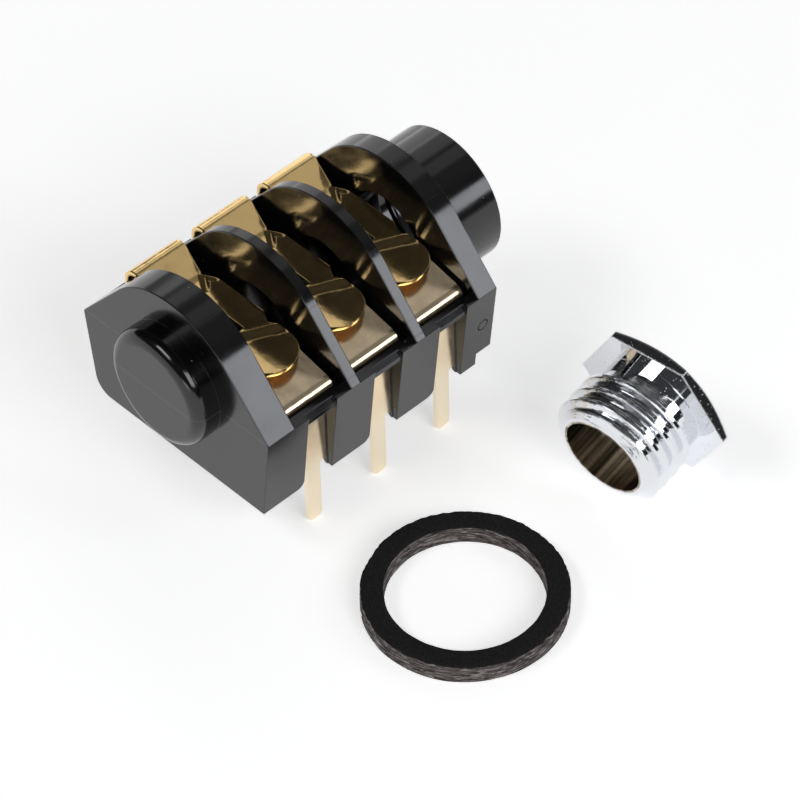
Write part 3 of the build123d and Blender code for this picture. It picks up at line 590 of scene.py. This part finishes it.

# %% [markdown]
# ## Spring contacts, each one leaf
# The real spring contact is a single bent strip: pin, terminal, fold, sloping plate, crimped neck,
# tongue, crease and round lobe. The solids need a hinge in it, so the visible leaf is made here in one
# piece. It is a grid of rows that follow the strip. Each row has a place and two ends, the lobe's rows
# end on its circle, and the crease is a soft step square to a skewed line.

# %% Outline of the leaf
terminal_y = 8.08
sheet = 0.35
spring_half = 2.30
pin_half, pin_round, pin_tip_z = 0.635, 0.45, -12.10
stem_half = 1.25
fold_r = 0.85
fold_z = 2.10
plate_angle = 17.4
top_z = 2.18
neck_y = 4.45
crease_y = -1.96
crease_skew = math.radians(25.2)
crease_left = 0.08
facet_run = 0.50
facet_drop = 0.35
lobe_u, lobe_y, lobe_r = -0.05, -3.90, 2.35
left_edge = [(6.976, -2.30), (4.45, -0.60), (3.90, -0.60), (2.80, 0.08), (-1.81, 0.08), (-1.96, -0.02),
             (-2.11, -1.695), (-2.71, -2.19), (-3.90, -2.40)]
right_edge = [(6.976, 2.30), (4.45, 1.60), (4.175, 1.60), (3.35, 2.22), (-1.25, 2.22), (-2.21, 1.70),
              (-3.90, -0.05)]
crimp_apex = (1.50, 4.12)
crimp_feet = ((0.72, 3.05), (2.12, 3.42))
crimp_height, crimp_half = 0.24, 0.28


def edge_at(edge, y):
    """How far an edge of the leaf lies from the pole's middle, at a distance y along it."""
    if y >= edge[0][0]:
        return edge[0][1]
    for (y1, u1), (y2, u2) in zip(edge, edge[1:]):
        if y >= y2:
            return u1 + (u2 - u1) * (y1 - y) / (y1 - y2)
    return edge[-1][1]


def leaf_ends(y):
    """Left and right end of the row at y, with the lobe's circle joined to the edges."""
    left, right_end = edge_at(left_edge, y), edge_at(right_edge, y)
    inside = lobe_r ** 2 - (y - lobe_y) ** 2
    if inside > 0:
        half_row = math.sqrt(inside)
        if y < lobe_y:
            left, right_end = lobe_u - half_row, lobe_u + half_row
        else:
            left, right_end = min(left, lobe_u - half_row), max(right_end, lobe_u + half_row)
    return left, right_end


def soft(t, width):
    """A ramp that starts softly: 0 before 0, t after it."""
    return 0.5 * (t + math.sqrt(t * t + width * width))


print("leaf is", round(2 * lobe_r, 2), "mm wide at the lobe")

# %% Height of the leaf
def crimp_at(u, y):
    """Height of the crimp: two ridges that fall away from one apex, with a dent between them."""
    apex_u, apex_y = crimp_apex
    height = 0.0
    for foot_u, foot_y in crimp_feet:
        run_u, run_y = foot_u - apex_u, foot_y - apex_y
        length = math.hypot(run_u, run_y)
        along = ((u - apex_u) * run_u + (y - apex_y) * run_y) / length
        off = abs((u - apex_u) * run_y - (y - apex_y) * run_u) / length
        across = max(0.0, 1 - off / crimp_half)
        before = max(0.0, min(1.0, (along + 0.35) / 0.35))
        after = max(0.0, 1 - along / (1.1 * length))
        height = max(height, across * before * after)
    return crimp_height * height ** 0.8


def leaf_top(u, y):
    """Height of the upper face above the plug axis."""
    rise = soft(y - neck_y, 0.80) * math.tan(math.atan2(3.078 - top_z, 6.9235 - neck_y))
    beyond = -(y - crease_y) * math.cos(crease_skew) - (u - crease_left) * math.sin(crease_skew)
    drop = (soft(beyond, 0.10) - soft(beyond - facet_run, 0.10)) / facet_run * facet_drop
    return top_z + rise - drop + crimp_at(u, y)


print("neck at", round(leaf_top(*crimp_apex), 2), "mm")

# %% Rows of the leaf
def leaf_rows():
    """Rows from the pin's tip to the lobe's end. A row is a list of points (u, y, z) of the outer face."""
    columns = 30
    rows = []
    outer_y = terminal_y + sheet / 2
    strip = []
    for k in range(7):
        a = math.radians(15 * k)
        strip.append((pin_tip_z + pin_round * (1 - math.cos(a)), pin_half - pin_round * (1 - math.sin(a))))
    strip += [(-9.5, pin_half), (-6.71, pin_half), (-6.69, stem_half), (-4.0, stem_half), (-0.46, stem_half),
              (-0.44, spring_half), (fold_z, spring_half)]
    for z, half_row in strip:
        rows.append([(half_row * (2 * j / columns - 1), outer_y, z) for j in range(columns + 1)])
    centre_y = terminal_y - fold_r
    for k in range(1, 17):
        a = math.radians((90 + plate_angle) * k / 16)
        y = centre_y + (fold_r + sheet / 2) * math.cos(a)
        z = fold_z + (fold_r + sheet / 2) * math.sin(a)
        rows.append([(spring_half * (2 * j / columns - 1), y, z) for j in range(columns + 1)])
    stations = [6.7, 6.3, 5.9, 5.5, 5.1, 4.8, 4.6, 4.5, 4.4]
    y = 4.32
    while y > 2.7:
        stations.append(y)
        y -= 0.08
    stations += [2.6, 2.2, 1.6, 1.0, 0.4, -0.2, -0.7, -1.0, -1.25, -1.4, -1.5]
    y = -1.58
    while y > -3.2:
        stations.append(y)
        y -= 0.06
    for k in range(25):
        stations.append(lobe_y + 0.7 - (lobe_r + 0.7) * math.sin(math.radians(90 * (k + 1) / 25)) * 0.9999)
    for y in stations:
        left, right_end = leaf_ends(y)
        row = []
        for j in range(columns + 1):
            u = left + (right_end - left) * j / columns
            row.append((u, y, leaf_top(u, y)))
        rows.append(row)
    return rows


print(len(leaf_rows()), "rows")

# %% Make the three leaves
poles = {"sleeve": -4.25, "ring": -10.60, "tip": -16.95}
leaf_grid = leaf_rows()
for name, pole in poles.items():
    points = [((pole + u) * mm, y * mm, z * mm) for row in leaf_grid for u, y, z in row]
    wide = len(leaf_grid[0])
    faces = []
    for i in range(len(leaf_grid) - 1):
        for j in range(wide - 1):
            a = i * wide + j
            faces.append((a, a + wide, a + wide + 1, a + 1))
    mesh = bpy.data.meshes.new(f"{name}_leaf_rows")
    mesh.from_pydata(points, [], faces)
    draft = bpy.data.objects.new(f"{name}_leaf_draft", mesh)
    bpy.context.collection.objects.link(draft)
    thick = draft.modifiers.new("thickness", "SOLIDIFY")
    thick.thickness = sheet * mm
    thick.offset = -1.0
    thick.use_even_offset = True
    edges = draft.modifiers.new("stamped edges", "BEVEL")
    edges.width = 0.035 * mm
    edges.segments = 2
    edges.limit_method = "ANGLE"
    edges.angle_limit = math.radians(50)
    bpy.context.view_layer.update()
    finished = bpy.data.meshes.new_from_object(draft.evaluated_get(bpy.context.evaluated_depsgraph_get()))
    bpy.data.objects.remove(draft)
    finished.name = f"{name}_leaf"
    leaf = bpy.data.objects.new(f"{name}_leaf_strip", finished)
    bpy.context.collection.objects.link(leaf)
    finished.materials.clear()
    finished.materials.append(gold)
    for polygon in finished.polygons:
        polygon.use_smooth = True
    finished.set_sharp_from_angle(angle=math.radians(40))
    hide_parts(f"{name}_arm", f"{name}_terminal")
    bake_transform(leaf)
    print(leaf.name, len(finished.polygons), "faces")

# %% [markdown]
# ## The washer
# A ring of rows that follow a rectangle with slightly broken corners. Noise from a fixed pattern moves
# its points: hardly at all on the top, a few hundredths of a millimetre on the sides, where the layers
# have torn, and most along the upper outer edge, which the punch has frayed.

# %% Washer
washer_x, washer_y, washer_z = -15.10, -21.50, -12.10
inner_r, outer_r, thick_z = 5.70, 7.375, 1.50
corner = 0.06
around = 420
profile = []
for k in range(5):
    profile.append((inner_r + corner + (outer_r - inner_r - 2 * corner) * k / 4, thick_z))
for k in range(15):
    profile.append((outer_r, thick_z - corner - (thick_z - 2 * corner) * k / 14))
for k in range(5):
    profile.append((outer_r - corner - (outer_r - inner_r - 2 * corner) * k / 4, 0.0))
for k in range(15):
    profile.append((inner_r, corner + (thick_z - 2 * corner) * k / 14))
points = []
for i in range(around):
    a = 2 * math.pi * i / around
    for r, z in profile:
        at = Vector((r * math.cos(a), r * math.sin(a), z))
        strata = noise.noise(Vector((at.x * 0.9, at.y * 0.9, z * 6.0)))
        fray = noise.noise(Vector((at.x * 2.4, at.y * 2.4, 5.0)))
        fine = noise.noise(Vector((at.x * 6.0, at.y * 6.0, z * 9.0)))
        waver = noise.noise(Vector((at.x * 0.35, at.y * 0.35, 2.0)))
        shift = 0.05 * waver
        if r > outer_r - 0.001 or r < inner_r + 0.001:
            shift += 0.075 * strata + 0.035 * fine
        if r > outer_r - 0.10 and z > thick_z - 0.35:
            shift += 0.10 * fray - 0.02
        if r < outer_r - 0.10:
            shift *= 0.5
        shift = min(shift, 0.0 if r > outer_r - 0.001 else 0.05)
        lift = -0.035 * max(0.0, fray) if z > thick_z - 0.1 and r > outer_r - 0.2 else 0.0
        x, y = washer_x + (r + shift) * math.cos(a), washer_y + (r + shift) * math.sin(a)
        points.append((x * mm, y * mm, (washer_z + z + lift) * mm))
count = len(profile)
faces = []
for i in range(around):
    for k in range(count):
        a, b = i * count + k, i * count + (k + 1) % count
        c, d = (i + 1) % around * count + (k + 1) % count, (i + 1) % around * count + k
        faces.append((a, b, c, d))
mesh = bpy.data.meshes.new("washer_ring")
mesh.from_pydata(points, [], faces)
for polygon in mesh.polygons:
    polygon.use_smooth = True
mesh.materials.append(fibre)
ring = bpy.data.objects.new("washer_ring", mesh)
bpy.context.collection.objects.link(ring)
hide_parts("washer")
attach(ring, "socket")
print("washer", len(mesh.polygons), "faces")

# %% [markdown]
# ## Thread in the nose
# The ferrule screws into the nose, where a ridge of the same pitch winds round the wall. Geometry Nodes
# makes it by a rule: a flat strip of 0 to 1 is wound to a helix, its two long edges lie inside the
# wall, the crest between them stands out, and both ends run out into the wall.

# %% Thread by Geometry Nodes
winding = bpy.data.node_groups.new("thread_in_nose", "GeometryNodeTree")
winding.interface.new_socket(name="Geometry", in_out="OUTPUT", socket_type="NodeSocketGeometry")
thread_sizes = {"Start": 1.05 * mm, "Pitch": 1.20 * mm, "Turns": 2.5, "Wall": 4.22 * mm, "Ridge": 0.14 * mm}
handles = {}
for name in thread_sizes:
    socket = winding.interface.new_socket(name=name, in_out="INPUT", socket_type="NodeSocketFloat")
    handles[name] = socket.identifier
given = add(winding, "NodeGroupInput")
strip = add(winding, "GeometryNodeMeshGrid", {
    "Size X": 1.0, "Size Y": 1.0, "Vertices X": 241, "Vertices Y": 4})
spot = add(winding, "GeometryNodeInputPosition")
spot = add(winding, "ShaderNodeSeparateXYZ", {0: spot.outputs[0]})
run = add(winding, "ShaderNodeMath", {0: spot.outputs["X"], 1: 0.5}, operation="ADD")
turns = add(winding, "ShaderNodeMath", {
    0: run.outputs[0], 1: given.outputs["Turns"]}, operation="MULTIPLY")
angle = add(winding, "ShaderNodeMath", {0: turns.outputs[0], 1: 2 * math.pi}, operation="MULTIPLY")
beside = add(winding, "ShaderNodeMath", {0: spot.outputs["Y"]}, operation="ABSOLUTE")
flank = add(winding, "ShaderNodeMapRange", {
    "Value": beside.outputs[0], "From Min": 1 / 6, "From Max": 0.5, "To Min": 1.0, "To Max": 0.0})
begin = add(winding, "ShaderNodeMapRange", {"Value": run.outputs[0], "From Min": 0.0, "From Max": 0.10})
ending = add(winding, "ShaderNodeMapRange", {
    "Value": run.outputs[0], "From Min": 0.90, "From Max": 1.0, "To Min": 1.0, "To Max": 0.0})
rise = add(winding, "ShaderNodeMath", {0: begin.outputs[0], 1: ending.outputs[0]}, operation="MULTIPLY")
rise = add(winding, "ShaderNodeMath", {0: rise.outputs[0], 1: flank.outputs[0]}, operation="MULTIPLY")
rise = add(winding, "ShaderNodeMath", {
    0: rise.outputs[0], 1: given.outputs["Ridge"]}, operation="MULTIPLY")
radius = add(winding, "ShaderNodeMath", {
    0: given.outputs["Wall"], 1: rise.outputs[0]}, operation="SUBTRACT")
beyond = add(winding, "ShaderNodeMath", {
    0: spot.outputs["Y"], 1: 0.6, 2: turns.outputs[0]}, operation="MULTIPLY_ADD")
beyond = add(winding, "ShaderNodeMath", {
    0: beyond.outputs[0], 1: given.outputs["Pitch"], 2: given.outputs["Start"]},
    operation="MULTIPLY_ADD")
level = add(winding, "ShaderNodeMath", {0: angle.outputs[0]}, operation="COSINE")
level = add(winding, "ShaderNodeMath", {
    0: level.outputs[0], 1: radius.outputs[0]}, operation="MULTIPLY")
upright = add(winding, "ShaderNodeMath", {0: angle.outputs[0]}, operation="SINE")
upright = add(winding, "ShaderNodeMath", {
    0: upright.outputs[0], 1: radius.outputs[0]}, operation="MULTIPLY")
wound = add(winding, "ShaderNodeCombineXYZ", {
    0: beyond.outputs[0], 1: level.outputs[0], 2: upright.outputs[0]})
wound = add(winding, "GeometryNodeSetPosition", {
    "Geometry": strip.outputs["Mesh"], "Position": wound.outputs[0]})
wound = add(winding, "GeometryNodeSetShadeSmooth", {0: wound.outputs[0], "Shade Smooth": True})
wound = add(winding, "GeometryNodeRealizeInstances", {0: wound.outputs[0]})
wound = add(winding, "GeometryNodeSetMaterial", {"Geometry": wound.outputs[0], "Material": nylon})
add(winding, "NodeGroupOutput", {0: wound.outputs[0]})
draft = bpy.data.objects.new("thread_draft", bpy.data.meshes.new("thread_draft"))
bpy.context.collection.objects.link(draft)
modifier = draft.modifiers.new("winding", "NODES")
modifier.node_group = winding
for name, value in thread_sizes.items():
    modifier[handles[name]] = value
finished = bpy.data.meshes.new_from_object(draft.evaluated_get(bpy.context.evaluated_depsgraph_get()))
bpy.data.objects.remove(draft)
nose_thread = bpy.data.objects.new("nose_thread", finished)
bpy.context.collection.objects.link(nose_thread)
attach(nose_thread, "socket")
print("thread", len(finished.polygons), "faces")
